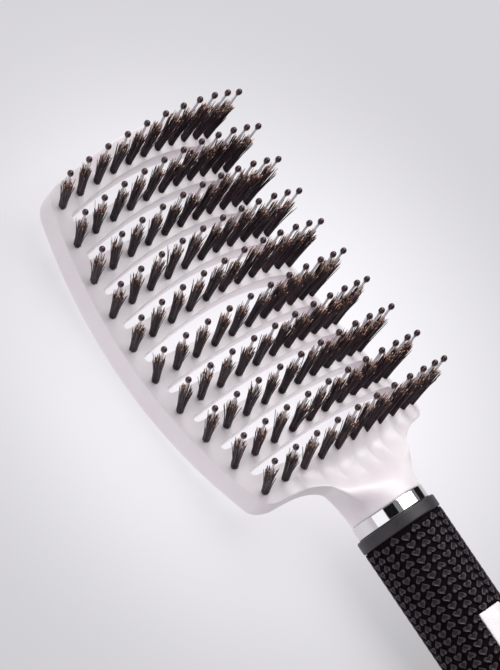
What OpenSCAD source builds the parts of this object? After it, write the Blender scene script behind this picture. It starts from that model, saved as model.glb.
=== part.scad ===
// Vented paddle brush: a bowed, arched head of ten bars with nine open vents between them,
// eleven bristle tufts on every bar, each with one ball-tipped pin, on a round sleeved handle.
// It lies on its back: +Z is the bristle side, +Y runs from the handle to the tip of the head.
// The origin is on the table under the middle of the brush.

/* [Bars and vents] */
// Distance from one bar to the next
bar_pitch = 12; // [11:0.5:13.5]
// Bar width on the handle side of its tufts, at mid-width
bar_near = 2.4; // [2:0.1:3]
// Extra bar width on the handle side, at the rails
bar_near_grow = 1.7; // [0.5:0.1:2]
// Bar width on the tip side of its tufts, at mid-width
bar_far = 3; // [2:0.1:3.4]
// Extra bar width on the tip side, at the rails
bar_far_grow = 3.1; // [1:0.1:3.4]
// How far the five bars nearest the tip bow towards the tip
tip_bar_bow = 1.4; // [0:0.1:2]
// How far the five bars nearest the handle bow towards the handle
neck_bar_bow = 0.4; // [0:0.1:1.5]

/* [Head] */
// Half of the head's greatest width
half_width = 39; // [34:0.5:46]
// Radius of the head's arch from side to side
arch_r = 79.4; // [65:0.5:100]
// Radius of the head's bow from tip to neck
bow_r = 176.6; // [140:1:230]
// Thickness of the head
head_t = 7; // [6:0.1:9]
// From the first bar's tufts to the end of the head
tip_margin = 8.9; // [6:0.1:14]
// From the last bar's tufts to the shoulders
shoulder_margin = 6.8; // [6:0.1:9]
// Radius of the bowed side edges
side_r = 580; // [400:10:900]
// Radius of the end edge at the tip
end_r = 180; // [120:5:400]
// Radius of the two corners at the tip
tip_corner_r = 4; // [3:0.5:9]
// Radius of the two shoulders
shoulder_r = 4; // [3:0.5:9]

/* [Tufts and pins] */
// From the side edge in to the outermost tuft
edge_to_tuft = 3.1; // [2.8:0.1:6]
// Diameter of a tuft's hole
hole_d = 2.8; // [2.2:0.1:3]
// Depth of a tuft's hole
hole_depth = 5; // [3.5:0.1:5.4]
// Height of a tuft above the bar
tuft_h = 16.5; // [10:0.5:18]
// Diameter of a tuft at its top
tuft_top_d = 4.2; // [3:0.1:5]
// Diameter of a pin
pin_d = 0.9; // [0.6:0.1:1.2]
// Height of a ball tip's centre above the bar
pin_h = 19.9; // [19:0.1:26]
// Diameter of a ball tip
ball_d = 2; // [1.6:0.1:2.6]
// Sideways lean of the outermost pins
fan_angle = 15.8; // [0:0.1:22]
// Lean towards the tip of the pins nearest the tip
lean_tip = 7.3; // [0:0.1:14]
// Lean towards the tip of the pins nearest the handle
lean_neck = 10.8; // [0:0.1:16]

/* [Handle] */
// From the last bar's tufts to the ring
neck_length = 23.6; // [20:0.1:32]
// Slope of the handle down from the ring to its end
handle_slope = 3.6; // [3:0.1:4.5]
// Diameter of the core that the ring and the sleeve slide over
core_d = 18; // [14:0.5:20]
// Diameter of the ring
ring_d = 25.6; // [22:0.2:28]
// Length of the ring
ring_length = 4.6; // [3:0.1:8]
// Diameter of the collar and of the grip
grip_d = 27.8; // [24:0.2:32]
// Length of the collar
collar_length = 4.2; // [3:0.1:8]
// Length of the grip sleeve
grip_length = 87; // [70:1:110]
// Height of the end cap's round lug beyond the sleeve
lug_r = 11; // [9:0.5:13]
// Diameter of the hanging hole
hang_d = 5; // [3:0.5:6]
// Thickness of the lug
lug_t = 8; // [6:0.5:14]

/* [Badge] */
// From the badge's far end to the end of the sleeve
badge_end = 11; // [5:1:20]
// Half of the angle that the badge covers
badge_angle = 20; // [10:1:40]
// From the collar to the badge
badge_inset = 34; // [20:1:38]
// Thickness of the badge below the grip's surface
badge_t = 1.2; // [0.8:0.1:2]
// How far the badge stands above the grip's surface
badge_rise = 0.2; // [0:0.1:0.5]

/* [Hidden] */
bars = 10;
tufts = 11;
fit_gap = 0.05;         // all round between a piece and the piece that it slides over or into
edge_round = 0.6;       // rounding of the ring's and the collar's edges
vent_end = 1.2;         // from a vent's end out to the outermost tuft of its bars
staple_t = 0.5;
staple_h = 1;
ball_socket = 0.7;      // how far a pin enters its ball tip
tuft_straight = 0.5;    // a tuft keeps its hole's width up to this height above the bar
tuft_tip_h = 2;         // the stretch over which a tuft's top narrows
tuft_tip_in = 0.8;      // how much it narrows there, on each side
cap_round = 2.4;        // thickness of the cap's disc and rounding of its edge
neck_root_half = 24;    // half width of the neck where it leaves the head
neck_root_in = 3;       // how far inside the shoulders the neck begins
neck_root_t = 6;        // thickness of the neck there
neck_root_tilt = 20;    // its tilt there, up towards the handle
neck_scoop_r = 9;       // radius of the hollow on each side of the neck
neck_step = 0.3;        // how much the neck's end is smaller than the ring
core_root = 1;          // how far the handle's core reaches into the neck
plug_length = 12;       // the cap's plug inside the sleeve
slice = 0.6;            // thickness of the two ends that the neck is drawn between
bow_reach = 30;         // half of the angle that the bowed plate is turned through before it is cut
steps = 16;             // straight steps along a curved edge
over = 1;               // how far a cutting shape stands out past what it cuts
far = 60;               // longer than any cut

// heights of the arched and bowed top surface
edge_drop = arch_r - sqrt(arch_r * arch_r - half_width * half_width);
saddle_z = arch_r - sqrt(pow(arch_r - head_t, 2) - half_width * half_width);
first_y = (bars - 1) / 2 * bar_pitch;
bow_y = 1.6;            // lowest place of the bow, from the middle of the bars
function arch_drop(x) = arch_r - sqrt(arch_r * arch_r - x * x);
function top_z(x, y) = saddle_z + bow_r - sqrt(pow(bow_r + arch_drop(x), 2) - pow(y - bow_y, 2));

// the outline's circles, in the plan of the head
tip_y = first_y + tip_margin;
shoulder_y = -first_y - shoulder_margin;
widest_y = -11;
side_x = half_width - side_r;
end_y = tip_y - end_r;
function side_half(y, inset) = side_x + sqrt(pow(side_r - inset, 2) - pow(y - widest_y, 2));
function edge(y) = side_half(y, 0);

// centre of the tip's corner: where the side's and the end's circles meet, both drawn in by its radius
corner_a = side_r - tip_corner_r;
corner_b = end_r - tip_corner_r;
apart = norm([side_x, widest_y - end_y]);
toward = [side_x, widest_y - end_y] / apart;
along = (corner_b * corner_b - corner_a * corner_a + apart * apart) / (2 * apart);
aside = sqrt(corner_b * corner_b - along * along);
corner_c = [along * toward[0] - aside * -toward[1], end_y + along * toward[1] + aside * -toward[0]];
corner_side = atan2(corner_c[1] - widest_y, corner_c[0] - side_x);
corner_end = atan2(corner_c[1] - end_y, corner_c[0]);

// centre of the shoulder's corner
shoulder_c = [side_half(shoulder_y + shoulder_r, shoulder_r), shoulder_y + shoulder_r];
shoulder_side = atan2(shoulder_c[1] - widest_y, shoulder_c[0] - side_x);

function arc(c, r, a, b) = [
    for (i = [0:steps])
        let (turn = a + (b - a) * i / steps) c + r * [cos(turn), sin(turn)]];
function mirrored(points) = [for (i = [len(points) - 1:-1:0]) [-points[i][0], points[i][1]]];
half_outline = concat(
    arc(shoulder_c, shoulder_r, -90, shoulder_side),
    arc([side_x, widest_y], side_r, shoulder_side, corner_side),
    arc(corner_c, tip_corner_r, corner_side, corner_end),
    arc([0, end_y], end_r, corner_end, 90));

// bars, counted from 0 at the tip
function bar_y(i) = first_y - i * bar_pitch;
function bar_half(i) = edge(bar_y(i)) - edge_to_tuft;
function bar_bow(i) = i < bars / 2 ? tip_bar_bow : -neck_bar_bow;
function bowed(i, x) = bar_y(i) + bar_bow(i) * (1 - pow(x / bar_half(i), 2));
function near_edge(i, x) = bowed(i, x) - bar_near - bar_near_grow * pow(x / bar_half(i), 2);
function far_edge(i, x) = bowed(i, x) + bar_far + bar_far_grow * pow(x / bar_half(i), 2);

// tufts, counted from 0 at -X
function tuft_u(k) = 2 * k / (tufts - 1) - 1;
function seat(i, k) = let (x = bar_half(i) * tuft_u(k), y = bowed(i, x)) [x, y, top_z(x, y)];
function fan(k) = fan_angle * sin(90 * tuft_u(k));
function lean(i) = lean_tip + (lean_neck - lean_tip) * i / (bars - 1);

// the handle, along its own axis from the ring's front face
ring_y = -first_y - neck_length;
collar_at = ring_length;
grip_at = collar_at + collar_length;
cap_at = grip_at + grip_length;
badge_length = grip_length - badge_inset - badge_end;
hang_up = (cap_round + lug_r) / 2;
core_end = cap_at - plug_length;
ring_z = cap_at * sin(handle_slope) + grip_d / 2 * cos(handle_slope);

// pins, tufts and the badge's seat
pin_from = staple_h - hole_depth;
pin_to = pin_h - ball_d / 2 + ball_socket;
sleeve_bore = core_d + 2 * fit_gap;
badge_gap_angle = atan(fit_gap / (grip_d / 2));

// the origin is under the middle of the whole brush
handle_end_y = ring_y - cap_at * cos(handle_slope) - lug_r;
frame_y = -(tip_y + handle_end_y) / 2;

row_ids = ["01", "02", "03", "04", "05", "06", "07", "08", "09", "10"];

module in_frame() {
    translate([0, frame_y, 0])
        children();
}

// children are drawn along +Z from the ring's front face towards the handle's end,
// with the handle's upper side on +Y
module along_handle() {
    in_frame()
        translate([0, ring_y, ring_z])
            rotate([90 + handle_slope, 0, 0])
                children();
}

module at_tuft(i, k) {
    in_frame()
        translate(seat(i, k))
            rotate([-lean(i), fan(k), 0])
                children();
}

module tube(outer_d, inner_d, length) {
    difference() {
        cylinder(h = length, d = outer_d, $fn = 96);
        translate([0, 0, -over])
            cylinder(h = length + 2 * over, d = inner_d, $fn = 96);
    }
}

// a tube with its two outer edges rounded
module rounded_tube(outer_d, inner_d, length) {
    rotate_extrude($fn = 96)
        union() {
            translate([inner_d / 2, edge_round])
                square([(outer_d - inner_d) / 2, length - 2 * edge_round]);
            translate([inner_d / 2, 0])
                square([(outer_d - inner_d) / 2 - edge_round, length]);
            for (z = [edge_round, length - edge_round])
                translate([outer_d / 2 - edge_round, z])
                    circle(r = edge_round, $fn = 32);
        }
}

// the arched plate, bowed about an axis that lies across the brush above the head
module bowed_plate() {
    cut_half = half_width + over;
    translate([0, bow_y, saddle_z + bow_r])
        rotate([90, 0, 90])
            rotate_extrude(angle = 2 * bow_reach, start = -90 - bow_reach, $fn = 180)
                intersection() {
                    translate([bow_r + arch_r, 0])
                        difference() {
                            circle(r = arch_r, $fn = 180);
                            circle(r = arch_r - head_t, $fn = 180);
                        }
                    translate([bow_r - over, -cut_half])
                        square([edge_drop + 2 * head_t, 2 * cut_half]);
                }
}

module head_plate() {
    intersection() {
        bowed_plate();
        linear_extrude(height = far)
            polygon(concat(half_outline, mirrored(half_outline)));
    }
}

module vent(i) {
    half = min(bar_half(i), bar_half(i + 1)) - vent_end;
    across = [for (s = [0:steps]) half * (2 * s / steps - 1)];
    linear_extrude(height = far)
        polygon(concat(
            [for (x = across) [x, far_edge(i + 1, x)]],
            [for (s = [steps:-1:0]) [across[s], near_edge(i, across[s])]]));
}

module neck() {
    root_y = shoulder_y + neck_root_in;
    difference() {
        hull() {
            for (x = [-neck_root_half, 0, neck_root_half])
                translate([x, root_y, top_z(x, root_y) - head_t / 2])
                    rotate([-neck_root_tilt, 0, 0])
                        cube([slice, slice, neck_root_t], center = true);
            translate([0, ring_y, ring_z])
                rotate([90 + handle_slope, 0, 0])
                    translate([0, 0, -slice])
                        cylinder(h = slice, d = ring_d - 2 * neck_step, $fn = 64);
        }
        for (side = [-1, 1])
            translate([side * (ring_d / 2 + neck_scoop_r), shoulder_y - neck_scoop_r, 0])
                cylinder(h = far, r = neck_scoop_r, $fn = 64);
    }
}

module head_frame() {
    color("whitesmoke") {
        difference() {
            in_frame() {
                difference() {
                    head_plate();
                    for (i = [0:bars - 2])
                        vent(i);
                }
                neck();
            }
            for (i = [0:bars - 1], k = [0:tufts - 1])
                at_tuft(i, k)
                    translate([0, 0, -hole_depth])
                        cylinder(h = hole_depth + 2 * over, d = hole_d, $fn = 24);
        }
        along_handle()
            translate([0, 0, -core_root])
                cylinder(h = core_end + core_root, d = core_d, $fn = 96);
    }
}

module chrome_ring() {
    color("silver")
        along_handle()
            rounded_tube(ring_d, sleeve_bore, ring_length);
}

module grip_collar() {
    color("dimgray")
        along_handle()
            translate([0, 0, collar_at])
                rounded_tube(grip_d, sleeve_bore, collar_length);
}

// the wedge of a ring, centred on the handle's upper side
module badge_wedge(inner_r, outer_r, length, half_angle) {
    rotate_extrude(angle = 2 * half_angle, start = 90 - half_angle, $fn = 180)
        translate([inner_r, 0])
            square([outer_r - inner_r, length]);
}

module grip_sleeve() {
    color("black")
        along_handle()
            difference() {
                translate([0, 0, grip_at])
                    tube(grip_d, sleeve_bore, grip_length);
                translate([0, 0, grip_at + badge_inset - fit_gap])
                    badge_wedge(grip_d / 2 - badge_t, grip_d / 2 + over,
                        badge_length + 2 * fit_gap, badge_angle + badge_gap_angle);
            }
}

module badge() {
    color("white")
        along_handle()
            translate([0, 0, grip_at + badge_inset])
                badge_wedge(grip_d / 2 - badge_t + fit_gap, grip_d / 2 + badge_rise,
                    badge_length, badge_angle);
}

// the disc that closes the sleeve, with its outer edge rounded
module cap_disc() {
    rotate_extrude($fn = 96)
        union() {
            square([grip_d / 2 - cap_round, cap_round]);
            intersection() {
                translate([grip_d / 2 - cap_round, 0])
                    circle(r = cap_round, $fn = 48);
                square([grip_d, cap_round]);
            }
        }
}

module end_cap() {
    color("black")
        along_handle()
            translate([0, 0, cap_at])
                difference() {
                    union() {
                        translate([0, 0, -plug_length])
                            cylinder(h = plug_length + cap_round / 2, d = core_d, $fn = 96);
                        cap_disc();
                        intersection() {
                            sphere(r = lug_r, $fn = 96);
                            translate([-grip_d / 2, -lug_t / 2, 0])
                                cube([grip_d, lug_t, lug_r]);
                        }
                    }
                    translate([0, 0, hang_up])
                        rotate([90, 0, 0])
                            cylinder(h = far, d = hang_d, center = true, $fn = 48);
                }
}

// one tuft: a round bundle that fills its hole, spreads above it, and leaves the pin's way open
module tuft() {
    core_r = pin_d / 2 + fit_gap;
    root_r = hole_d / 2 - fit_gap;
    rotate_extrude($fn = 24)
        polygon([
            [core_r, pin_from],
            [root_r, pin_from],
            [root_r, tuft_straight],
            [tuft_top_d / 2, tuft_h - tuft_tip_h],
            [tuft_top_d / 2 - tuft_tip_in, tuft_h],
            [core_r, tuft_h]]);
}

module pin() {
    translate([0, 0, pin_from])
        cylinder(h = pin_to - pin_from, d = pin_d, $fn = 16);
}

module ball_tip() {
    difference() {
        translate([0, 0, pin_h])
            sphere(d = ball_d, $fn = 24);
        translate([0, 0, pin_h - ball_d])
            cylinder(h = pin_to - pin_h + ball_d, d = pin_d, $fn = 16);
    }
}

module staple() {
    translate([0, 0, -hole_depth + staple_h / 2])
        cube([hole_d - 4 * fit_gap, staple_t, staple_h], center = true);
}

module tuft_row(i) {
    color("#2b2022")
        for (k = [0:tufts - 1])
            at_tuft(i, k)
                tuft();
}

module pin_row(i) {
    color("lavender")
        for (k = [0:tufts - 1])
            at_tuft(i, k)
                pin();
}

module ball_tip_row(i) {
    color("#4a262c")
        for (k = [0:tufts - 1])
            at_tuft(i, k)
                ball_tip();
}

module staple_row(i) {
    color("gray")
        for (k = [0:tufts - 1])
            at_tuft(i, k)
                staple();
}

head_frame();
chrome_ring();
grip_collar();
grip_sleeve();
badge();
end_cap();
for (i = [0:bars - 1]) {
    tuft_row(i);
    pin_row(i);
    ball_tip_row(i);
    staple_row(i);
}
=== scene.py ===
"""Vented paddle brush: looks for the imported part, in its own frame and in metres."""
import math
import random

import bmesh
import bpy
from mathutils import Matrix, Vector


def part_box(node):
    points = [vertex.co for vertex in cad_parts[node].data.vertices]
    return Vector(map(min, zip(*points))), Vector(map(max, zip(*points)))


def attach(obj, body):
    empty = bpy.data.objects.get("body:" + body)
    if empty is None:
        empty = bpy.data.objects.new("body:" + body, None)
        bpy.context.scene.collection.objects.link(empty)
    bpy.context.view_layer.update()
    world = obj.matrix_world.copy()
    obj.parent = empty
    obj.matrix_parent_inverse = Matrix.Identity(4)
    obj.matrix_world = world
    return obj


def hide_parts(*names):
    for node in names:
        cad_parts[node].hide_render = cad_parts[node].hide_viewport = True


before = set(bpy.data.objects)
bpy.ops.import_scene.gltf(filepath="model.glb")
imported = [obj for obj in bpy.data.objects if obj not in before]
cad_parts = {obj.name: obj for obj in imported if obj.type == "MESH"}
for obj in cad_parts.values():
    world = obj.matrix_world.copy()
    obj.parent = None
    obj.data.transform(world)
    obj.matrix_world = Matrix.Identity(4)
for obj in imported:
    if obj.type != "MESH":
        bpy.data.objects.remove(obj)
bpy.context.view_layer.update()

MM = 0.001

# ---------------------------------------------------------------- sizes, in mm, as in the part's source

BARS = 10
TUFTS = 11
PITCH = 12.0
FIRST_Y = (BARS - 1) / 2 * PITCH
ARCH_R = 79.4
BOW_R = 176.6
BOW_Y = 1.6
HEAD_T = 7.0
SIDE_R = 580.0
END_R = 180.0
WIDEST_Y = -11.0
EDGE_TO_TUFT = 3.1
VENT_END = 1.2
BAR_NEAR, BAR_NEAR_GROW = 2.4, 1.7
BAR_FAR, BAR_FAR_GROW = 3.0, 3.1
TIP_BOW, NECK_BOW = 1.4, -0.4
FAN = math.radians(15.8)
LEAN_TIP, LEAN_NECK = math.radians(7.3), math.radians(10.8)
PIN_H = 19.9
SLOPE = math.radians(3.6)

head_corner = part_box("head_frame")[1] / MM
HALF_WIDTH = head_corner.x
TIP_MARGIN = 8.9
SHIFT_Y = head_corner.y - FIRST_Y - TIP_MARGIN      # from the middle of the bars to the frame
SADDLE = ARCH_R - math.sqrt((ARCH_R - HEAD_T) ** 2 - HALF_WIDTH ** 2)
SIDE_X = HALF_WIDTH - SIDE_R
END_Y = FIRST_Y + TIP_MARGIN - END_R

RING_LENGTH, COLLAR_LENGTH, GRIP_LENGTH = 4.6, 4.2, 87.0
GRIP_R = 13.9
CORE_R = 9.0
FIT_GAP = 0.05           # all round between a piece and the piece that it slides over
RING_R = 12.8
NECK_LENGTH = 23.6
RING_Y = -FIRST_Y - NECK_LENGTH
GRIP_AT = RING_LENGTH + COLLAR_LENGTH
CAP_AT = GRIP_AT + GRIP_LENGTH
RING_Z = CAP_AT * math.sin(SLOPE) + GRIP_R * math.cos(SLOPE)
BADGE_INSET, BADGE_LENGTH, BADGE_ANGLE = 34.0, 42.0, math.radians(20)


# ---------------------------------------------------------------- small helpers

def mix(a, b, t):
    """The value a share t of the way from a to b."""
    return a + (b - a) * t


def smooth(t):
    """Eases from 0 to 1 as t goes from 0 to 1."""
    t = min(1.0, max(0.0, t))
    return t * t * (3 - 2 * t)


def curve(stops, x):
    """A smooth curve through (x, y) stops."""
    if x <= stops[0][0]:
        return stops[0][1]
    for k in range(len(stops) - 1):
        (x0, y0), (x1, y1) = stops[k], stops[k + 1]
        if x <= x1:
            before = stops[max(0, k - 1)]
            after = stops[min(len(stops) - 1, k + 2)]
            span = x1 - x0
            m0 = (y1 - before[1]) / (x1 - before[0]) * span
            m1 = (after[1] - y0) / (after[0] - x0) * span
            t = (x - x0) / span
            return ((2 * t ** 3 - 3 * t ** 2 + 1) * y0 + (t ** 3 - 2 * t ** 2 + t) * m0
                    + (3 * t ** 2 - 2 * t ** 3) * y1 + (t ** 3 - t ** 2) * m1)
    return stops[-1][1]


def new_object(name, vertices, faces, material, node=None):
    """A mesh piece from points in mm; the faces are turned outwards and shaded smooth."""
    mesh = bpy.data.meshes.new(name)
    mesh.from_pydata([Vector(v) * MM for v in vertices], [], faces)
    work = bmesh.new()
    work.from_mesh(mesh)
    bmesh.ops.recalc_face_normals(work, faces=work.faces)
    work.to_mesh(mesh)
    work.free()
    mesh.shade_smooth()
    mesh.materials.append(material)
    piece = bpy.data.objects.new(name, mesh)
    bpy.context.scene.collection.objects.link(piece)
    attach(piece, "root")
    if node:
        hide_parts(*node)
    return piece


# ---------------------------------------------------------------- materials

def colour(text):
    """Linear colour from an sRGB hex code."""
    parts = [int(text[i:i + 2], 16) / 255 for i in (1, 3, 5)]
    linear = [c / 12.92 if c <= 0.04045 else ((c + 0.055) / 1.055) ** 2.4 for c in parts]
    return (*linear, 1.0)


def add(tree, kind, settings=None, **inputs):
    """Adds a shader node. An input is named in lower case with _ for spaces, or in0, in1 by place;
    its value is a constant or the socket that feeds it."""
    made = tree.nodes.new("ShaderNode" + kind)
    for key, value in (settings or {}).items():
        setattr(made, key, value)
    for key, value in inputs.items():
        if key[:2] == "in" and key[2:].isdigit():
            socket = made.inputs[int(key[2:])]
        else:
            socket = next(s for s in made.inputs if s.name.lower().replace(" ", "_") == key)
        if isinstance(value, bpy.types.NodeSocket):
            tree.links.new(value, socket)
        else:
            socket.default_value = value
    return made


def ramp(tree, factor, stops):
    """A colour ramp with the given (place, colour) stops."""
    made = add(tree, "ValToRGB", fac=factor)
    elements = made.color_ramp.elements
    while len(elements) < len(stops):
        elements.new(0.5)
    for element, (place, shade) in zip(elements, stops):
        element.position = place
        element.color = shade
    return made.outputs[0]


def new_material(name):
    """A node material with its tree and its Principled shader."""
    material = bpy.data.materials.new(name)
    material.use_nodes = True
    tree = material.node_tree
    shader = tree.nodes["Principled BSDF"]
    return material, tree, shader


def link(tree, source, shader, name):
    """Feeds a shader's named input from a socket."""
    tree.links.new(source, shader.inputs[name])


def white_abs():
    """Injection-moulded white ABS: faint cloudy flow in the colour, a fine moulded grain in the gloss,
    and a little light let through, so that the bars look solid and soft-edged."""
    material, tree, shader = new_material("white_abs")
    place = add(tree, "TexCoord").outputs["Object"]
    flow = add(tree, "TexNoise", vector=place, scale=45.0, detail=3.0, roughness=0.55)
    tint = ramp(tree, flow.outputs["Fac"], [(0.3, colour("#F1E8EC")), (0.7, colour("#F8F1F4"))])
    link(tree, tint, shader, "Base Color")
    grain = add(tree, "TexNoise", vector=place, scale=900.0, detail=4.0)
    rough = add(tree, "MapRange", value=grain.outputs["Fac"], to_min=0.27, to_max=0.37)
    link(tree, rough.outputs[0], shader, "Roughness")
    swell = add(tree, "TexNoise", vector=place, scale=120.0, detail=2.0)
    bump = add(tree, "Bump", strength=0.05, distance=0.0004, height=swell.outputs["Fac"])
    fine = add(tree, "Bump", strength=0.04, distance=0.00004, height=grain.outputs["Fac"],
               normal=bump.outputs[0])
    link(tree, fine.outputs[0], shader, "Normal")
    shader.inputs["Subsurface Weight"].default_value = 0.15
    shader.inputs["Subsurface Radius"].default_value = (0.0022, 0.0015, 0.0013)
    shader.inputs["Subsurface Scale"].default_value = 1.0
    shader.inputs["Coat Weight"].default_value = 0.15
    shader.inputs["Coat Roughness"].default_value = 0.12
    return material


def polished_chrome():
    """Plated brass ring: mirror-bright with a very fine polishing line round it."""
    material, tree, shader = new_material("polished_chrome")
    place = add(tree, "TexCoord").outputs["Object"]
    stretch = add(tree, "Mapping", vector=place, scale=(60.0, 2500.0, 60.0))
    lines = add(tree, "TexNoise", vector=stretch.outputs[0], scale=1.0, detail=2.0)
    rough = add(tree, "MapRange", value=lines.outputs["Fac"], to_min=0.03, to_max=0.09)
    link(tree, rough.outputs[0], shader, "Roughness")
    shader.inputs["Base Color"].default_value = colour("#E6E4E6")
    shader.inputs["Metallic"].default_value = 1.0
    return material


def charcoal_plastic():
    """Moulded charcoal plastic with a satin skin: fine grain breaks its highlights up."""
    material, tree, shader = new_material("charcoal_plastic")
    place = add(tree, "TexCoord").outputs["Object"]
    grain = add(tree, "TexNoise", vector=place, scale=1400.0, detail=3.0)
    tint = ramp(tree, grain.outputs["Fac"], [(0.35, colour("#2C292D")), (0.65, colour("#343035"))])
    link(tree, tint, shader, "Base Color")
    rough = add(tree, "MapRange", value=grain.outputs["Fac"], to_min=0.42, to_max=0.56)
    link(tree, rough.outputs[0], shader, "Roughness")
    bump = add(tree, "Bump", strength=0.12, distance=0.00005, height=grain.outputs["Fac"])
    link(tree, bump.outputs[0], shader, "Normal")
    return material


def grip_rubber():
    """Black soft rubber with a fine mottle all over: painted shade darkens the hollows between the hearts,
    and a painted sheen lightens the raised hearts' tops, which are glossier too.
    """
    material, tree, shader = new_material("grip_rubber")
    place = add(tree, "TexCoord").outputs["Object"]
    dust = add(tree, "TexNoise", vector=place, scale=260.0, detail=5.0, roughness=0.65)
    # painted shade: the darker colour between the hearts; painted sheen: the lighter colour on their tops
    low = ramp(tree, dust.outputs["Fac"], [(0.3, colour("#0D090C")), (0.75, colour("#1D161B"))])
    high = ramp(tree, dust.outputs["Fac"], [(0.3, colour("#272026")), (0.75, colour("#3B323A"))])
    raised = add(tree, "Attribute", {"attribute_name": "raised"}).outputs["Fac"]
    tint = add(tree, "MixRGB", fac=raised, color1=low, color2=high).outputs[0]
    link(tree, tint, shader, "Base Color")
    rough = add(tree, "MapRange", value=dust.outputs["Fac"], to_min=0.4, to_max=0.55)
    matt = add(tree, "MapRange", value=raised, to_min=1.0, to_max=rough.outputs[0])
    link(tree, matt.outputs[0], shader, "Roughness")
    shine = add(tree, "MapRange", value=raised, to_min=0.02, to_max=0.5)
    link(tree, shine.outputs[0], shader, "Specular IOR Level")
    fine = add(tree, "TexNoise", vector=place, scale=2600.0, detail=2.0)
    bump = add(tree, "Bump", strength=0.2, distance=0.00004, height=fine.outputs["Fac"])
    link(tree, bump.outputs[0], shader, "Normal")
    return material


def badge_plastic():
    """Plain white badge: clean gloss plastic with a slight orange-peel in its lacquer."""
    material, tree, shader = new_material("badge_plastic")
    place = add(tree, "TexCoord").outputs["Object"]
    peel = add(tree, "TexNoise", vector=place, scale=700.0, detail=2.0)
    tint = ramp(tree, peel.outputs["Fac"], [(0.3, colour("#F4EDF1")), (0.7, colour("#F9F3F6"))])
    link(tree, tint, shader, "Base Color")
    bump = add(tree, "Bump", strength=0.06, distance=0.00005, height=peel.outputs["Fac"])
    link(tree, bump.outputs[0], shader, "Normal")
    shader.inputs["Roughness"].default_value = 0.22
    return material


def boar_bristle():
    """Boar bristle: near-black at the root, turning to a warm red-brown at the split tips,
    with each hair a little lighter or darker than its neighbour; the much lighter hairs are painted
    highlight streaks."""
    material, tree, shader = new_material("boar_bristle")
    along = add(tree, "Attribute", {"attribute_name": "along"}).outputs["Fac"]
    shade = add(tree, "Attribute", {"attribute_name": "shade"}).outputs["Fac"]
    place = add(tree, "TexCoord").outputs["Object"]
    fleck = add(tree, "TexNoise", vector=place, scale=2200.0, detail=3.0)
    uneven = add(tree, "MapRange", value=fleck.outputs["Fac"], to_min=-0.08, to_max=0.08)
    worn = add(tree, "Math", {"operation": "ADD"}, in0=along, in1=uneven.outputs[0])
    tint = ramp(tree, worn.outputs[0], [(0.0, colour("#2C1C25")), (0.75, colour("#35232C")),
                                        (0.94, colour("#47302F")), (1.0, colour("#CDA591"))])
    # each hair's shade multiplies its colour: a random tone, and painted highlight streaks on the much
    # lighter hairs
    dark = add(tree, "MixRGB", {"blend_type": "MULTIPLY"}, fac=0.75, color1=tint, color2=shade)
    link(tree, dark.outputs[0], shader, "Base Color")
    shader.inputs["Roughness"].default_value = 0.3
    shader.inputs["Specular IOR Level"].default_value = 0.32
    return material


def clear_nylon():
    """Drawn nylon pin: milky and half clear, bright along its edges."""
    material, tree, shader = new_material("clear_nylon")
    place = add(tree, "TexCoord").outputs["Object"]
    cloud = add(tree, "TexNoise", vector=place, scale=600.0, detail=2.0)
    tint = ramp(tree, cloud.outputs["Fac"], [(0.3, colour("#E9E2E7")), (0.7, colour("#F8F4F7"))])
    link(tree, tint, shader, "Base Color")
    shader.inputs["Roughness"].default_value = 0.16
    shader.inputs["IOR"].default_value = 1.53
    shader.inputs["Transmission Weight"].default_value = 0.35
    return material


def maroon_ball():
    """Dipped ball tip: dark red-brown lacquer, glossy, slightly deeper where the dip is thick."""
    material, tree, shader = new_material("maroon_ball")
    place = add(tree, "TexCoord").outputs["Object"]
    dip = add(tree, "TexNoise", vector=place, scale=500.0, detail=2.0)
    tint = ramp(tree, dip.outputs["Fac"], [(0.3, colour("#2B1015")), (0.7, colour("#3F1B21"))])
    link(tree, tint, shader, "Base Color")
    shader.inputs["Roughness"].default_value = 0.2
    shader.inputs["Coat Weight"].default_value = 0.6
    shader.inputs["Coat Roughness"].default_value = 0.06
    return material


def staple_wire():
    """Flattened steel staple wire: grey, drawn along its length, dull in its hole."""
    material, tree, shader = new_material("staple_wire")
    place = add(tree, "TexCoord").outputs["Object"]
    drawn = add(tree, "TexNoise", vector=place, scale=3000.0, detail=2.0)
    rough = add(tree, "MapRange", value=drawn.outputs["Fac"], to_min=0.3, to_max=0.5)
    link(tree, rough.outputs[0], shader, "Roughness")
    shader.inputs["Base Color"].default_value = colour("#B9B6B2")
    shader.inputs["Metallic"].default_value = 1.0
    return material


WHITE = white_abs()
CHROME = polished_chrome()
CHARCOAL = charcoal_plastic()
RUBBER = grip_rubber()
BADGE = badge_plastic()
BRISTLE = boar_bristle()
NYLON = clear_nylon()
BALL = maroon_ball()
STAPLE = staple_wire()


# ---------------------------------------------------------------- the head's surfaces, in mm

def arch_drop(x, radius):
    """How far an arch of this radius lies under its crown at x."""
    return ARCH_R - math.sqrt(radius * radius - x * x)


def plate_z(x, y, depth=0.0):
    """Height of the plate's top, or of the surface that lies depth below it."""
    return SADDLE + BOW_R - math.sqrt((BOW_R + arch_drop(x, ARCH_R - depth)) ** 2 - (y - BOW_Y) ** 2)


def side_half(y):
    """Half of the head's width at y."""
    return SIDE_X + math.sqrt(SIDE_R ** 2 - (y - WIDEST_Y) ** 2)


def tip_edge(x):
    """The head's bowed edge at the tip."""
    return END_Y + math.sqrt(END_R ** 2 - x * x)


def shoulder_edge(x):
    """The head's edge towards the handle: level shoulders that sweep down into the neck."""
    return curve([(0.0, -66.2), (12.0, -66.0), (16.0, -65.0), (17.6, -64.2), (19.5, -62.9),
                  (22.0, -61.6), (26.0, -60.3), (32.0, -59.5), (40.0, -58.6)], abs(x))


def bar_y(i):
    """Where bar i lies along the head."""
    return FIRST_Y - i * PITCH


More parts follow.
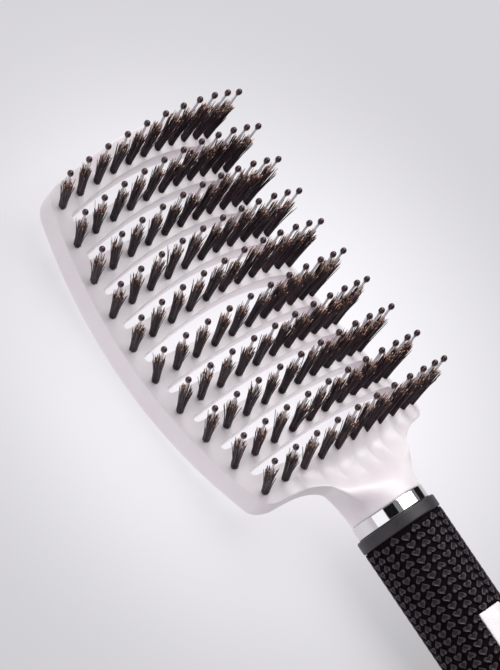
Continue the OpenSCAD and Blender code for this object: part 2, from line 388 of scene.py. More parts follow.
def tuft_half(i):
    """From the middle of bar i out to its outermost tuft."""
    return side_half(bar_y(i)) - EDGE_TO_TUFT


def bar_line(i, u):
    """The line of bar i's tufts, u from -1 to 1 between its outermost tufts."""
    bow = TIP_BOW if i < BARS // 2 else NECK_BOW
    return bar_y(i) + bow * (1 - min(1.0, u * u))


def far_line(i, u):
    """Bar i's edge on the tip side of its tufts."""
    return bar_line(i, u) + BAR_FAR + BAR_FAR_GROW * min(1.0, u * u)


def near_line(i, u):
    """Bar i's edge on the handle side of its tufts."""
    return bar_line(i, u) - BAR_NEAR - BAR_NEAR_GROW * min(1.0, u * u)


def vent_half(i):
    """Half length of the vent between bars i and i + 1."""
    return min(tuft_half(i), tuft_half(i + 1)) - VENT_END


def pin_axis(i, u):
    """The direction of a pin: fanned to the sides and leaning towards the tip."""
    fan = FAN * math.sin(math.pi / 2 * u)
    lean = mix(LEAN_TIP, LEAN_NECK, i / (BARS - 1))
    return Vector((math.sin(fan) * math.cos(lean), math.sin(lean), math.cos(fan) * math.cos(lean)))


def tuft_seat(i, u):
    """Where a tuft leaves the bar, in the frame."""
    x = tuft_half(i) * u
    y = bar_line(i, u)
    return Vector((x, y + SHIFT_Y, plate_z(x, y)))


def handle_point(along, radius, turn):
    """A point by its distance from the ring's front face, its radius, and its turn from the top."""
    side = radius * math.sin(turn)
    up = radius * math.cos(turn)
    return Vector((side,
                   RING_Y + SHIFT_Y - along * math.cos(SLOPE) - up * math.sin(SLOPE),
                   RING_Z - along * math.sin(SLOPE) + up * math.cos(SLOPE)))


# ---------------------------------------------------------------- head, bars, rails and neck

VENT_COLUMNS = 50
TIP_CORNER_R, SHOULDER_R = 3.2, 4.0
RAIL_STOPS = [0.28, 0.62, 0.93, 1.0]
EDGE_SOFT = 0.4          # from an edge to the line that holds its rounding
SHOULDER_SOFT = 1.1      # the same along the shoulders
WALL_STOPS = [0.0, 0.055, 0.5, 0.945, 1.0]
NECK_WALL_STOPS = [0.0, 0.2, 0.5, 0.85, 1.0]
NECK_COLUMNS = 13        # columns on each side of the middle that run on into the neck
NECK_ROWS = 8
NECK_END_R = RING_R - 0.35
NECK_TURN = math.radians(66)     # how far the neck's top and underside wrap round the ring
LINE_FAR, LINE_NEAR = 1.1, 0.9   # grid lines on the two sides of a bar's tufts
LOW_FLARE = 1.004        # the underside is a little wider than the top
FLUTE_DEPTH = 0.9
FLUTE_LENGTH, FLUTE_LENGTH_SIDE = 12.5, 7.0
NECK_ROLL = 1.6          # how far the neck's long edges roll down
# behind the last bar's tufts: (distance, height from the tufts' roots) of the top and of the underside
NECK_TOP = [(0.0, 0.0), (1.4, -0.3), (3.0, -1.7), (5.0, -2.8), (8.0, -2.2), (12.0, -0.6),
            (16.0, 1.6), (20.0, 3.8), (NECK_LENGTH, 5.0)]
NECK_LOW = [(0.0, -7.5), (3.0, -8.1), (6.0, -9.6), (9.0, -12.0), (12.0, -14.6), (15.0, -16.8),
            (19.0, -19.0), (NECK_LENGTH, -20.0)]
# share of the way from the shoulders to the ring, and the neck's half width there
NECK_SIDE = [(0.0, 17.6), (0.1, 16.9), (0.25, 16.2), (0.5, 15.2), (0.8, 13.8), (1.0, NECK_END_R)]


def column_stops():
    """The grid's columns: even along the vents, then the stops that hold the rails' rounding."""
    inner = [2 * c / VENT_COLUMNS - 1 for c in range(VENT_COLUMNS + 1)]
    outer = [1 + s for s in RAIL_STOPS]
    return [-t for t in reversed(outer)] + inner + outer


COLUMNS = column_stops()
MIDDLE = len(COLUMNS) // 2


def soften_corner(x, y):
    """Rounds the head's four corners by moving points of a square corner onto a quarter circle."""
    for radius, edge, sign in ((TIP_CORNER_R, tip_edge(x), 1), (SHOULDER_R, shoulder_edge(x), -1)):
        a = (abs(x) - (side_half(y) - radius)) / radius
        b = (sign * (y - edge) + radius) / radius
        if 0 < a <= 1.0001 and 0 < b <= 1.0001:
            a, b = min(a, 1), min(b, 1)
            round_a = a * math.sqrt(1 - b * b / 2)
            round_b = b * math.sqrt(1 - a * a / 2)
            x += math.copysign(1, x) * radius * (round_a - a)
            y += sign * radius * (round_b - b)
            break
    return x, y


def row_point(t, half, y_of):
    """A point of a grid row: t is 1 at a vent's end and 2 at the head's side."""
    reach = min(1.0, abs(t)) * half
    u = reach / (half + VENT_END)
    y = y_of(u, reach)
    if abs(t) > 1:
        reach = mix(half, side_half(y), abs(t) - 1)
        y = y_of(u, reach)
    return math.copysign(reach, t), y


def head_rows():
    """Rows from the tip to the shoulders: each is (points, whether a vent follows it)."""
    rows = []

    def put(half, y_of, vent=False):
        """One row: half is half the vent's length there, y_of gives its line."""
        points = [row_point(t, half, y_of) for t in COLUMNS]
        rows.append(([soften_corner(*p) for p in points], vent))

    first_half = tuft_half(0) - VENT_END
    put(first_half, lambda u, x: tip_edge(x))
    put(first_half, lambda u, x: tip_edge(x) - EDGE_SOFT)
    put(first_half, lambda u, x: mix(tip_edge(x) - EDGE_SOFT, bar_line(0, u) + LINE_FAR, 0.5))
    for i in range(BARS):
        before = vent_half(i - 1) if i else first_half
        after = vent_half(i) if i < BARS - 1 else tuft_half(i) - VENT_END
        middle = (before + after) / 2
        if i:
            put(before, lambda u, x: far_line(i, u))
            put(before, lambda u, x: far_line(i, u) - EDGE_SOFT)
        put(middle, lambda u, x: bar_line(i, u) + LINE_FAR)
        put(middle, lambda u, x: bar_line(i, u) - LINE_NEAR)
        if i < BARS - 1:
            put(after, lambda u, x: near_line(i, u) + EDGE_SOFT)
            put(after, lambda u, x: near_line(i, u), vent=True)
    last = BARS - 1
    after = tuft_half(last) - VENT_END
    for share in (0.3, 0.62):
        put(after, lambda u, x: mix(bar_line(last, u) - LINE_NEAR, shoulder_edge(x) + SHOULDER_SOFT, share))
    put(after, lambda u, x: shoulder_edge(x) + SHOULDER_SOFT)
    put(after, lambda u, x: shoulder_edge(x))
    return rows


def behind(y):
    """Distance behind the last bar's tufts."""
    return bar_line(BARS - 1, 0) - y


def flute(x, y):
    """Depth of the shallow flutes that run from the last bar's tufts down to the neck: each is a
    smooth hollow behind a tuft, with a crisper ridge between it and the next."""
    pitch = tuft_half(BARS - 1) / 5
    away = behind(y)
    reach = mix(FLUTE_LENGTH, FLUTE_LENGTH_SIDE, smooth(abs(x) / 26))
    fade = smooth(away / 2.0) * smooth((reach + 2.0 - away) / 9.0) * smooth((30 - abs(x)) / 5)
    return FLUTE_DEPTH * fade * abs(math.cos(math.pi * x / pitch)) ** 0.7


def top_z(x, y):
    """The head's top: the plate, then a hollow behind the last bar that climbs to the ring."""
    away = behind(y)
    if away <= 0:
        return plate_z(x, y)
    middle = plate_z(x, y + away) + curve(NECK_TOP, away)
    return mix(middle, plate_z(x, y) - 1.2 * smooth(away / 5), smooth((abs(x) - 9) / 17))


def low_z(x, y):
    """The head's underside: the plate's, then a belly that swells to the ring's lower half."""
    away = behind(y)
    flat = plate_z(x, y, HEAD_T)
    if away <= 0:
        return flat
    root = plate_z(x, y + away)
    return mix(root + curve(NECK_LOW, away), flat, smooth(abs(x) / 26))


def build_head():
    """The head in one closed mesh: top and underside grids, walls between them, the neck and its end."""
    rows = head_rows()
    columns = len(COLUMNS)
    top, low = [], []
    for points, _ in rows:
        top.append([Vector((x, y, top_z(x, y))) for x, y in points])
        low.append([Vector((x * LOW_FLARE, y, low_z(x, y))) for x, y in points])
    plate_rows = len(rows)
    inside = range(MIDDLE - NECK_COLUMNS, MIDDLE + NECK_COLUMNS + 1)

    # the neck: the plate's rows run on and roll up into the ring's circle
    start_y = rows[-1][0][MIDDLE][1]
    base = [rows[-1][0][c] for c in range(columns)]
    for k in range(1, NECK_ROWS + 1):
        share = k / NECK_ROWS
        y = mix(start_y, RING_Y, share)
        half = curve(NECK_SIDE, share)
        roll = smooth(share)
        row_top, row_low = [None] * columns, [None] * columns
        for c in inside:
            part = (c - MIDDLE) / NECK_COLUMNS
            turn = NECK_TURN * part
            x_flat = half * part
            x = mix(x_flat, NECK_END_R * math.sin(turn), roll)
            bent_y = y + (base[c][1] - start_y) * (1 - share) ** 2
            round_top = RING_Z + NECK_END_R * math.cos(turn)
            round_low = RING_Z - NECK_END_R * math.cos(turn)
            z_top = mix(top_z(x_flat, y), round_top, roll)
            z_low = mix(low_z(x_flat, y), round_low, smooth(share * 1.15))
            z_top -= NECK_ROLL * math.sin(math.pi * share) * smooth((abs(part) - 0.55) / 0.6)
            row_top[c] = Vector((x, bent_y, z_top))
            row_low[c] = Vector((x, bent_y, z_low))
        top.append(row_top)
        low.append(row_low)

    # tilt the last rows to meet the ring's face square to the handle
    total = len(top)
    for r in range(plate_rows, total):
        share = (r - plate_rows + 1) / NECK_ROWS
        for side in (top, low):
            for c in inside:
                p = side[r][c]
                p.y -= (p.z - RING_Z) * math.tan(SLOPE) * share

    vertices, index = [], {}

    def at(side, r, c):
        """The vertex of a grid point: side 0 is the top, 1 the underside."""
        key = (side, r, c)
        if key not in index:
            p = (top if side == 0 else low)[r][c]
            index[key] = len(vertices)
            vertices.append(Vector((p.x, p.y + SHIFT_Y, p.z)))
        return index[key]

    def cell(r, c):
        """Whether the plate or the neck fills this cell of the grid."""
        if r < 0 or c < 0 or r >= total - 1 or c >= columns - 1:
            return False
        if r >= plate_rows - 1:
            return inside[0] <= c < inside[-1]
        is_vent = rows[r][1]
        return not (is_vent and abs(COLUMNS[c]) <= 1.001 and abs(COLUMNS[c + 1]) <= 1.001)

    faces = []
    walls = {}

    def wall_at(r, c, level):
        """The vertex of a wall at one of its levels between top and underside."""
        if level == 0:
            return at(0, r, c)
        if level == len(WALL_STOPS) - 1:
            return at(1, r, c)
        key = (r, c, level)
        if key not in walls:
            a, b = top[r][c], low[r][c]
            stops = WALL_STOPS if r < plate_rows - 1 else NECK_WALL_STOPS
            p = a.lerp(b, stops[level])
            bulge = smooth((r - plate_rows + 2) / NECK_ROWS) if r >= plate_rows - 1 else 0
            if bulge:
                height = (a.z + b.z) / 2
                reach = math.hypot(a.x, a.z - height)
                swing = p.z - height
                full = math.sqrt(max(0.0, reach * reach - swing * swing))
                p.x = math.copysign(mix(abs(p.x), full, bulge), a.x)
            walls[key] = len(vertices)
            vertices.append(Vector((p.x, p.y + SHIFT_Y, p.z)))
        return walls[key]

    for r in range(total - 1):
        for c in range(columns - 1):
            if not cell(r, c):
                continue
            faces.append([at(0, r, c), at(0, r, c + 1), at(0, r + 1, c + 1), at(0, r + 1, c)])
            faces.append([at(1, r, c), at(1, r + 1, c), at(1, r + 1, c + 1), at(1, r, c + 1)])
            for (nr, nc), a, b in (((r - 1, c), (r, c), (r, c + 1)),
                                   ((r + 1, c), (r + 1, c + 1), (r + 1, c)),
                                   ((r, c - 1), (r + 1, c), (r, c)),
                                   ((r, c + 1), (r, c + 1), (r + 1, c + 1))):
                if cell(nr, nc) or (nr == total - 1 and nr > r):
                    continue
                for level in range(len(WALL_STOPS) - 1):
                    faces.append([wall_at(*a, level), wall_at(*b, level),
                                  wall_at(*b, level + 1), wall_at(*a, level + 1)])

    # close the neck's end with rings of faces that shrink to one point
    end = total - 1
    loop = [at(0, end, c) for c in inside]
    loop += [wall_at(end, inside[-1], level) for level in range(1, len(WALL_STOPS) - 1)]
    loop += [at(1, end, c) for c in reversed(inside)]
    loop += [wall_at(end, inside[0], level) for level in range(len(WALL_STOPS) - 2, 0, -1)]
    middle = sum((vertices[v] for v in loop), Vector()) / len(loop)
    for scale in (0.96, 0.625):
        inner = []
        for v in loop:
            inner.append(len(vertices))
            vertices.append(middle + (vertices[v] - middle) * scale)
        for k in range(len(loop)):
            n = (k + 1) % len(loop)
            faces.append([loop[k], loop[n], inner[n], inner[k]])
        loop = inner
    hub = len(vertices)
    vertices.append(middle)
    for k in range(len(loop)):
        faces.append([loop[k], loop[(k + 1) % len(loop)], hub])

    piece = new_object("head_frame_shell", vertices, faces, WHITE, ["head_frame"])
    soft = piece.modifiers.new("soften", "SUBSURF")
    soft.levels = 2
    soft.render_levels = 2
    fine = bpy.data.meshes.new_from_object(piece.evaluated_get(bpy.context.evaluated_depsgraph_get()))
    piece.modifiers.clear()
    piece.data = fine
    facing_up = [point.normal.z for point in fine.vertices]
    for point, up in zip(fine.vertices, facing_up):
        x, y = point.co.x / MM, point.co.y / MM - SHIFT_Y
        if up > 0.2 and behind(y) > 0:
            point.co.z -= flute(x, y) * smooth((up - 0.2) / 0.5) * MM
    fine.shade_smooth()
    return piece


# ---------------------------------------------------------------- turned pieces on the handle's axis

def lathe(name, profile, material, nodes=None, sides=96, start=0.0):
    """A closed solid of revolution about the handle's axis from (along, radius) points; a radius of
    nought closes an end."""
    vertices, faces, rings = [], [], []
    for along, radius in profile:
        if radius <= 0:
            rings.append([len(vertices)])
            vertices.append(handle_point(along, 0, 0))
            continue
        rings.append(list(range(len(vertices), len(vertices) + sides)))
        vertices += [handle_point(along, radius, start + 2 * math.pi * k / sides) for k in range(sides)]
    closed = len(rings[0]) > 1 and len(rings[-1]) > 1
    pairs = list(zip(rings, rings[1:])) + ([(rings[-1], rings[0])] if closed else [])
    for a, b in pairs:
        for k in range(sides):
            n = (k + 1) % sides
            if len(a) == 1:
                faces.append([a[0], b[n], b[k]])
            elif len(b) == 1:
                faces.append([a[k], a[n], b[0]])
            else:
                faces.append([a[k], a[n], b[n], b[k]])
    return new_object(name, vertices, faces, material, nodes)


def tube_profile(start, end, outer, inner, size):
    """A tube's section with its outer edges rounded and a short flat held on each side of them."""
    profile = [(start, inner), (start, outer - size - 0.05)]
    profile += [(start + size - size * math.cos(a), outer - size + size * math.sin(a))
                for a in [math.pi / 2 * k / 6 for k in range(7)]]
    profile += [(start + size + 0.05, outer), (end - size - 0.05, outer)]
    profile += [(end - size + size * math.sin(a), outer - size + size * math.cos(a))
                for a in [math.pi / 2 * k / 6 for k in range(7)]]
    return profile + [(end, outer - size - 0.05), (end, inner)]


# ---------------------------------------------------------------- grip with raised hearts

HEART_COLUMNS = 22
HEART_STEP = 2.75
HEART_SIZE = (1.66, 1.3)         # half width round the grip, half length along it
HEART_POINTS = 18
HEART_RISE = 0.65
SLEEVE_R = GRIP_R - HEART_RISE
SLEEVE_MARGIN = 1.5              # from the sleeve's start to the middle of the first hearts
BADGE_GAP = 0.15                 # from the badge's ends to the hearts
BADGE_EDGE = BADGE_ANGLE + 0.012  # from the top round to the hearts beside the badge


def heart_outline():
    """A heart that is 2 wide and about 2 long, centred on nought."""
    points = []
    for k in range(HEART_POINTS):
        a = 2 * math.pi * k / HEART_POINTS
        x = math.sin(a) ** 3
        y = (13 * math.cos(a) - 5 * math.cos(2 * a) - 2 * math.cos(3 * a) - math.cos(4 * a) + 2.5) / 14.5
        points.append((x, y))
    return points


def build_sleeve():
    """The rubber tube with its raised hearts; raised is 1 on the hearts' tops and 0 between them, and the
    rubber uses it to paint shade between the hearts and a sheen on their tops.
    """
    vertices, faces, raised = [], [], []
    sides = 132
    profile = [(GRIP_AT, CORE_R + FIT_GAP), (GRIP_AT, SLEEVE_R - 0.3)]
    profile += [(GRIP_AT + 0.1, SLEEVE_R - 0.08), (GRIP_AT + 0.35, SLEEVE_R)]
    cuts = [GRIP_AT + BADGE_INSET - BADGE_GAP, GRIP_AT + BADGE_INSET + BADGE_LENGTH + BADGE_GAP]
    profile += [(cuts[0], SLEEVE_R), (cuts[1], SLEEVE_R)]
    profile += [(CAP_AT - 0.35, SLEEVE_R), (CAP_AT - 0.1, SLEEVE_R - 0.08)]
    profile += [(CAP_AT, SLEEVE_R - 0.3), (CAP_AT, CORE_R + FIT_GAP)]
    rings = []
    for along, radius in profile:
        rings.append(list(range(len(vertices), len(vertices) + sides)))
        vertices += [handle_point(along, radius, 2 * math.pi * k / sides) for k in range(sides)]
    for a, b in zip(rings, rings[1:] + rings[:1]):
        for k in range(sides):
            n = (k + 1) % sides
            faces.append([a[k], a[n], b[n], b[k]])

    raised += [0.0] * len(vertices)
    outline = heart_outline()
    # a heart's section, as (share of its size, height): a rounded rim round a shallow dish
    levels = ((1.0, -0.2), (1.0, 0.25), (0.94, 0.58), (0.8, HEART_RISE), (0.64, 0.56), (0.36, 0.28))
    count = int((GRIP_LENGTH - 0.6) / HEART_STEP) - 1
    for column in range(HEART_COLUMNS):
        turn = 2 * math.pi * (column + 0.5) / HEART_COLUMNS
        flip = -1 if column % 2 else 1
        for k in range(count):
            along = GRIP_AT + SLEEVE_MARGIN + (k + (0.5 if column % 2 else 0.0)) * HEART_STEP
            from_top = math.atan2(math.sin(turn), math.cos(turn))
            if abs(from_top) < BADGE_ANGLE - 0.02 and cuts[0] < along < cuts[1]:
                continue
            beside = cuts[0] < along < cuts[1]
            previous = None
            for size, rise in levels:
                ring = list(range(len(vertices), len(vertices) + HEART_POINTS))
                raised += [smooth(rise / 0.5)] * HEART_POINTS
                for x, y in outline:
                    at_turn = from_top + x * HEART_SIZE[0] * size / GRIP_R
                    at_along = along + y * HEART_SIZE[1] * size * flip
                    if cuts[0] < at_along < cuts[1] and abs(at_turn) < BADGE_EDGE:
                        # a heart that meets the badge is cut off along the badge's edge
                        if beside:
                            at_turn = math.copysign(BADGE_EDGE, from_top)
                        else:
                            at_along = cuts[0] if along <= cuts[0] else cuts[1]
                    vertices.append(handle_point(at_along, SLEEVE_R + rise, at_turn))
                if previous:
                    for a in range(HEART_POINTS):
                        b = (a + 1) % HEART_POINTS
                        faces.append([previous[a], previous[b], ring[b], ring[a]])
                else:
                    faces.append(list(reversed(ring)))
                previous = ring
            faces.append(previous)
    piece = new_object("grip_sleeve_hearts", vertices, faces, RUBBER, ["grip_sleeve"])
    piece.data.set_sharp_from_angle(angle=math.radians(50))
    layer = piece.data.attributes.new("raised", "FLOAT", "POINT")
    layer.data.foreach_set("value", raised)
    return piece


# ---------------------------------------------------------------- badge and end cap

BADGE_RISE = 0.2
BADGE_T = 1.15                   # below the grip's surface
BADGE_SOFT = 0.3                 # rounding of the badge's upper edge
CAP_ROUND = 2.4
PLUG_LENGTH = 12.0
LUG_R, LUG_HALF, HANG_R = 11.0, 4.0, 2.5
LUG_SOFT = 0.8                   # rounding of the lug's edges
LUG_SUNK = 0.6                   # from the disc's inner face to the lug's foot inside it


def rounded_outline(half_a, half_b, radius, steps=8):
    """Points of a rectangle with round corners, centred on nought."""
    points = []
    for sign_a, sign_b, start in ((1, 1, 0), (-1, 1, 90), (-1, -1, 180), (1, -1, 270)):
        for k in range(steps + 1):
            turn = math.radians(start + 90 * k / steps)
            points.append((sign_a * (half_a - radius) + radius * math.cos(turn),
                           sign_b * (half_b - radius) + radius * math.sin(turn)))
    return points


def build_badge():
    """A thin plate that follows the grip's curve, with round corners and a rounded upper edge."""
    outer = GRIP_R + BADGE_RISE
    half_a, half_b = BADGE_LENGTH / 2, BADGE_ANGLE * outer
    middle = GRIP_AT + BADGE_INSET + half_a
    vertices, faces = [], []

    def ring(inset, radius):
        """The outline drawn in by inset, at a radius."""
        ids = []
        for a, b in rounded_outline(half_a - inset, half_b - inset, max(0.05, 0.5 - inset)):
            ids.append(len(vertices))
            vertices.append(handle_point(middle + a, radius, b / outer))
        return ids

    def shrunk(share, radius):
        """The flat's outline drawn in towards the badge's middle line, to fill the flat with even faces."""
        ids = []
        for a, b in rounded_outline(half_a - BADGE_SOFT, half_b - BADGE_SOFT, 0.2):
            ids.append(len(vertices))
            drawn_in = (share - 1) * math.copysign(min(abs(a), half_b), a)
            vertices.append(handle_point(middle + a + drawn_in, radius, b * share / outer))
        return ids

    rings = [shrunk(share, outer - BADGE_T - BADGE_RISE) for share in (0.04, 0.3, 0.6, 0.85)]
    rings += [ring(0.0, outer - BADGE_T - BADGE_RISE), ring(0.0, outer - BADGE_SOFT)]
    for k in range(1, 6):
        turn = math.pi / 2 * k / 5
        inset = BADGE_SOFT - BADGE_SOFT * math.cos(turn)
        rings.append(ring(inset, outer - BADGE_SOFT + BADGE_SOFT * math.sin(turn)))
    rings += [shrunk(share, outer) for share in (0.97, 0.85, 0.6, 0.3, 0.04)]
    for a, b in zip(rings, rings[1:]):
        for k in range(len(a)):
            n = (k + 1) % len(a)
            faces.append([a[k], a[n], b[n], b[k]])
    for cap in (rings[0], rings[-1]):
        faces.append(list(cap))
    piece = new_object("badge_plate", vertices, faces, BADGE, ["badge"])
    piece.data.set_sharp_from_angle(angle=math.radians(40))


def cap_profile():
    """The plug inside the sleeve and the disc that closes it, with a round outer edge."""
    profile = [(CAP_AT - PLUG_LENGTH, 0), (CAP_AT - PLUG_LENGTH, CORE_R - 0.5)]
    profile += [(CAP_AT - PLUG_LENGTH + 0.5, CORE_R), (CAP_AT, CORE_R), (CAP_AT, GRIP_R - 0.2)]
    for k in range(9):
        turn = math.pi / 2 * k / 8
        radius = GRIP_R - CAP_ROUND + CAP_ROUND * math.cos(turn)
        profile.append((CAP_AT + CAP_ROUND * math.sin(turn), radius))
    return profile + [(CAP_AT + CAP_ROUND, GRIP_R - CAP_ROUND - 0.3), (CAP_AT + CAP_ROUND, 0)]


def build_lug():
    """The round lug with its hanging hole: a section swept round the hole out to the lug's edge."""
    centre = (CAP_ROUND + LUG_R) / 2
    sides = 96
    bevel = [math.pi / 2 * q / 4 for q in range(5)]
    vertices, faces, rings = [], [], []

    def outward(turn, radius):
        """Distance from the hole's centre to the lug's edge, or to its foot inside the disc."""
        ahead, aside = math.sin(turn), math.cos(turn)
        reach = -centre * ahead + math.sqrt(radius ** 2 - (centre * aside) ** 2)
        if ahead < 0:
            reach = min(reach, (LUG_SUNK - centre) / ahead)
        return reach

    for k in range(sides):
        turn = 2 * math.pi * k / sides
        section = []
        for side in (-1, 1):
            hole = []
            for a in bevel:
                hole.append((HANG_R + LUG_SOFT - LUG_SOFT * math.cos(a),
                             side * (LUG_HALF - LUG_SOFT + LUG_SOFT * math.sin(a))))
            face = LUG_HALF * side
            edge = outward(turn, math.sqrt(LUG_R ** 2 - LUG_HALF ** 2))
            wall = outward(turn, math.sqrt(LUG_R ** 2 - (LUG_HALF - LUG_SOFT) ** 2))
            rim = [(mix(HANG_R + LUG_SOFT, edge - LUG_SOFT, share), face) for share in (0.3, 0.7, 1.0)]
            for a in bevel[1:]:
                rim.append((mix(edge - LUG_SOFT, wall, math.sin(a)),
                            side * (LUG_HALF - LUG_SOFT + LUG_SOFT * math.cos(a))))
            line = hole + rim
            section += line if side < 0 else [(outward(turn, LUG_R), 0.0)] + line[::-1]
        ids = []
        for away, height in section:
            ids.append(len(vertices))
            along = CAP_AT + centre + away * math.sin(turn)
            aside = away * math.cos(turn)
            vertices.append(handle_point(along, math.hypot(aside, height), math.atan2(aside, height)))
        rings.append(ids)
    for a, b in zip(rings, rings[1:] + rings[:1]):
        for k in range(len(a)):
            n = (k + 1) % len(a)
            faces.append([a[k], a[n], b[n], b[k]])
    new_object("end_cap_lug", vertices, faces, CHARCOAL, ["end_cap"])


# ---------------------------------------------------------------- bristles, pins and ball tips

BRISTLES = 62
GOLDEN_ANGLE = 2.39996           # sets the bristles of a tuft evenly over its round
rng = random.Random(7)


def side_axes(axis):
    """Two directions square to an axis and to each other."""
    right = axis.cross(Vector((0, 1, 0))).normalized()
    return right, right.cross(axis).normalized()


def build_tufts(i):
    """One row of tufts: every bristle is a bent, tapered, four-sided hair."""
    vertices, faces, along, shade = [], [], [], []
    for k in range(TUFTS):
        u = 2 * k / (TUFTS - 1) - 1
        seat = tuft_seat(i, u)
        axis = pin_axis(i, u)
        right, ahead = side_axes(axis)
        swirl = rng.uniform(0, 6.28)
        tall = rng.uniform(14.2, 15.8)
        lean_a, lean_b = rng.gauss(0, 0.25), rng.gauss(0, 0.25)
        for h in range(BRISTLES):
            radial = math.sqrt((h + 0.5) / BRISTLES)
            angle = swirl + h * GOLDEN_ANGLE
            root = 0.2 + 0.92 * radial
            spread = (0.5 + rng.uniform(-0.5, 0.65)) * radial
            if rng.random() < 0.12:
                spread += rng.uniform(0.3, 1.1)
            height = tall * (1 - 0.06 * radial ** 2) + rng.gauss(0, 0.6)
            if rng.random() < 0.25:
                height -= rng.uniform(0.8, 4.0)
            thick = rng.uniform(0.11, 0.16)
            # a random tone for most hairs; the much lighter ones are painted highlight streaks
            tone_with_painted_highlight = rng.uniform(0.3, 1.0) if rng.random() < 0.7 else rng.uniform(1.6, 4.2)
            out = right * math.cos(angle) + ahead * math.sin(angle)
            stray = right * rng.gauss(0, 0.32) + ahead * rng.gauss(0, 0.32)
            previous = None
            for s, wide in ((-0.1, 1.0), (0.3, 1.0), (0.65, 0.95), (0.94, 0.8), (1.0, 0.5)):
                t = max(0.0, s)
                centre = seat + axis * (height * s)
                centre += out * (root + spread * t ** 1.5) + stray * t * t
                centre += (right * lean_a + ahead * lean_b) * t
                ring = list(range(len(vertices), len(vertices) + 4))
                for q in range(4):
                    turn = angle + math.pi / 2 * q
                    offset = right * math.cos(turn) + ahead * math.sin(turn)
                    vertices.append(centre + offset * thick * wide)
                    along.append(t)
                    shade.append(tone_with_painted_highlight)
                if previous:
                    for q in range(4):
                        n = (q + 1) % 4
                        faces.append([previous[q], previous[n], ring[n], ring[q]])
                else:
                    faces.append(list(reversed(ring)))
                previous = ring
            faces.append(previous)
    name = "tuft_row_%02d" % (i + 1)
    piece = new_object(name + "_bristles", vertices, faces, BRISTLE, [name])
    for label, values in (("along", along), ("shade", shade)):
        layer = piece.data.attributes.new(label, "FLOAT", "POINT")
        layer.data.foreach_set("value", values)
    return piece


def row_of_turned(i, name, profile, sides, material, node):
    """One turned shape, given as (height, radius) points, at every tuft of row i."""
    vertices, faces = [], []
    for k in range(TUFTS):
        u = 2 * k / (TUFTS - 1) - 1
        seat = tuft_seat(i, u)
        axis = pin_axis(i, u)
        right, ahead = side_axes(axis)
        previous = None
        for height, radius in profile:
            centre = seat + axis * height
            if radius <= 0:
                ring = [len(vertices)]
                vertices.append(centre)
            else:
                ring = list(range(len(vertices), len(vertices) + sides))
                for q in range(sides):
                    turn = 2 * math.pi * q / sides
                    vertices.append(centre + (right * math.cos(turn) + ahead * math.sin(turn)) * radius)
            if previous:
                for q in range(sides):
                    n = (q + 1) % sides
                    if len(previous) == 1:
                        faces.append([previous[0], ring[n], ring[q]])
                    elif len(ring) == 1:
                        faces.append([previous[q], previous[n], ring[0]])
                    else:
                        faces.append([previous[q], previous[n], ring[n], ring[q]])
            previous = ring
    return new_object(name, vertices, faces, material, [node])


def pin_profile():
    """A drawn pin that narrows a little under its ball and is rooted in the bar."""
    root = -4.0
    top = PIN_H - 0.55
    return [(root, 0), (root, 0.45), (0.0, 0.45), (top * 0.5, 0.43),
            (top - 1.2, 0.40), (top, 0.44), (top, 0)]


def ball_profile():
    """A drop that is a little longer than wide, with a short skirt where it grips its pin."""
    points = [(PIN_H - 1.28, 0.44), (PIN_H - 1.2, 0.52)]
    for k in range(2, 12):
        angle = math.pi * k / 12
        points.append((PIN_H - 1.18 * math.cos(angle), 1.02 * math.sin(angle) ** 0.92))
    return [(PIN_H - 1.28, 0)] + points + [(PIN_H + 1.18, 0)]


# ---------------------------------------------------------------- build everything

build_head()
core_end = CAP_AT - PLUG_LENGTH
lathe("handle_core", [(0.02, 0), (0.02, CORE_R), (core_end - 0.6, CORE_R), (core_end, CORE_R - 0.6),
                      (core_end, 0)], WHITE)
build_sleeve()
lathe("chrome_ring_turned", tube_profile(0, RING_LENGTH, RING_R, CORE_R + FIT_GAP, 0.45), CHROME,
      ["chrome_ring"], sides=160)
lathe("grip_collar_turned", tube_profile(RING_LENGTH, GRIP_AT, GRIP_R + 0.1, CORE_R + FIT_GAP, 0.6),
      CHARCOAL, ["grip_collar"], sides=160)

for i in range(BARS):
    row_id = "%02d" % (i + 1)
    build_tufts(i)
    row_of_turned(i, "pin_row_%s_nylon" % row_id, pin_profile(), 12, NYLON,
                  "pin_row_" + row_id)
    row_of_turned(i, "ball_tip_row_%s_drops" % row_id, ball_profile(), 16, BALL,
                  "ball_tip_row_" + row_id)

build_badge()
lathe("end_cap_turned", cap_profile(), CHARCOAL, ["end_cap"], sides=128)
build_lug()

# the staples sit at the bottom of their holes: they keep their own shape and take a real material
for name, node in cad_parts.items():
    if name.startswith("staple"):
        node.data.materials.clear()
        node.data.materials.append(STAPLE)


# ---------------------------------------------------------------- stage, light and camera

def stage_plane(name, centre, size, aim, material, seen=True):
    """A flat card that faces the point aim; one that isn't seen still shows in the chrome."""
    half = size[0] / 2, size[1] / 2
    mesh = bpy.data.meshes.new(name)
    corners = [(a * half[0], b * half[1], 0) for a, b in ((-1, -1), (1, -1), (1, 1), (-1, 1))]
    mesh.from_pydata(corners, [], [(0, 1, 2, 3)])
    mesh.materials.append(material)
    card = bpy.data.objects.new(name, mesh)
    bpy.context.scene.collection.objects.link(card)
    card.location = centre
    card.rotation_mode = "QUATERNION"
    card.rotation_quaternion = (Vector(aim) - Vector(centre)).to_track_quat("Z", "Y")
    card.visible_camera = seen


GLOW_MIDDLE = (0.010, 0.045, 0.0)      # the middle of the floor's painted pool of light, under the head
GLOW_REACH = 0.16


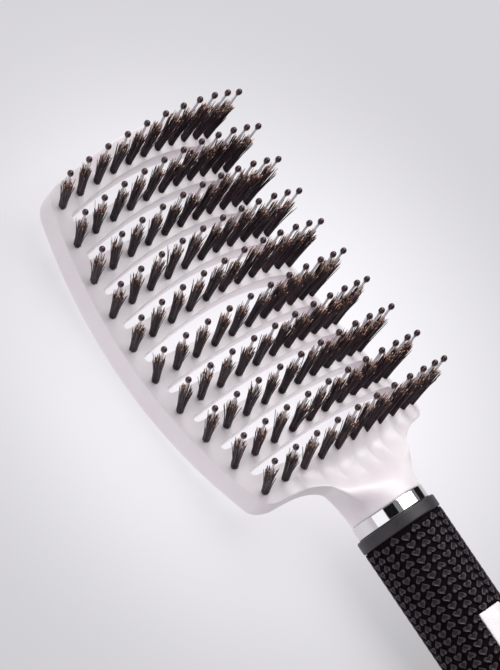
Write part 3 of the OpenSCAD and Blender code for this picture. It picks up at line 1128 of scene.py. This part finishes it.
def pale_floor():
    """Matt pale floor that glows: a painted pool of light, brightest under the head and fading outwards,
    that washes out the brush's shadows.
    """
    material, tree, shader = new_material("pale_floor")
    place = add(tree, "NewGeometry").outputs["Position"]
    from_middle = add(tree, "VectorMath", {"operation": "SUBTRACT"}, in0=place, in1=GLOW_MIDDLE)
    away = add(tree, "VectorMath", {"operation": "LENGTH"}, in0=from_middle.outputs[0])
    # painted pool of light: the floor's glow is strongest under the head and weaker further out
    glow = add(tree, "MapRange", {"interpolation_type": "SMOOTHERSTEP"}, value=away.outputs["Value"],
               from_min=0.0, from_max=GLOW_REACH, to_min=0.775, to_max=0.394)
    link(tree, glow.outputs[0], shader, "Emission Strength")
    shader.inputs["Base Color"].default_value = (0.25, 0.248, 0.26, 1)
    shader.inputs["Roughness"].default_value = 0.9
    shader.inputs["Specular IOR Level"].default_value = 0.1
    shader.inputs["Emission Color"].default_value = colour("#FBF9FD")
    return material


def flag_black():
    """Black velvet flag: takes light away from one side, so that chrome has a dark band to show."""
    material, tree, shader = new_material("flag_black")
    shader.inputs["Base Color"].default_value = colour("#050505")
    shader.inputs["Roughness"].default_value = 1.0
    return material


stage_plane("floor", (0, 0, 0), (30, 30), (0, 0, 1), pale_floor())


def area_light(name, centre, size, power, aim):
    """A white rectangular lamp that faces the point aim."""
    light = bpy.data.lights.new(name, "AREA")
    light.shape = "RECTANGLE"
    light.size, light.size_y = size
    light.energy = power
    lamp = bpy.data.objects.new(name, light)
    bpy.context.scene.collection.objects.link(lamp)
    lamp.location = centre
    lamp.rotation_mode = "QUATERNION"
    lamp.rotation_quaternion = (Vector(aim) - Vector(centre)).to_track_quat("-Z", "Y")
    return lamp


AIM = (0, 0, 0.02)
area_light("key", (0.3, 0.75, 0.85), (0.6, 0.6), 6.0, AIM)
area_light("left", (-1.1, 0.1, 0.3), (1.6, 1.0), 4.6, AIM)
area_light("top", (0.35, 0.1, 1.0), (0.7, 1.0), 7.0, AIM)

BLACK = flag_black()
stage_plane("flag_front", (-0.83, 0.03, 1.12), (0.5, 0.85), AIM, BLACK, seen=False)
stage_plane("flag_right", (1.0, -0.05, 0.32), (0.9, 0.5), AIM, BLACK, seen=False)
stage_plane("flag_handle", (0.0, -1.2, 0.5), (2.0, 0.9), AIM, BLACK, seen=False)

world = bpy.data.worlds.new("studio")
bpy.context.scene.world = world
world.use_nodes = True
world.node_tree.nodes["Background"].inputs["Color"].default_value = colour("#F1F0F5")
world.node_tree.nodes["Background"].inputs["Strength"].default_value = 0.28

camera_data = bpy.data.cameras.new("camera")
camera = bpy.data.objects.new("camera", camera_data)
bpy.context.scene.collection.objects.link(camera)
camera.location = (-0.595290, -0.086812, 0.721049)
camera.rotation_euler = [math.radians(angle) for angle in (32.1149, -26.8690, -41.1754)]
camera_data.sensor_fit = "VERTICAL"
camera_data.sensor_height = 36.0
camera_data.lens = 161.2
camera_data.clip_start = 0.01
bpy.context.scene.camera = camera
bpy.context.scene.view_settings.view_transform = "Standard"
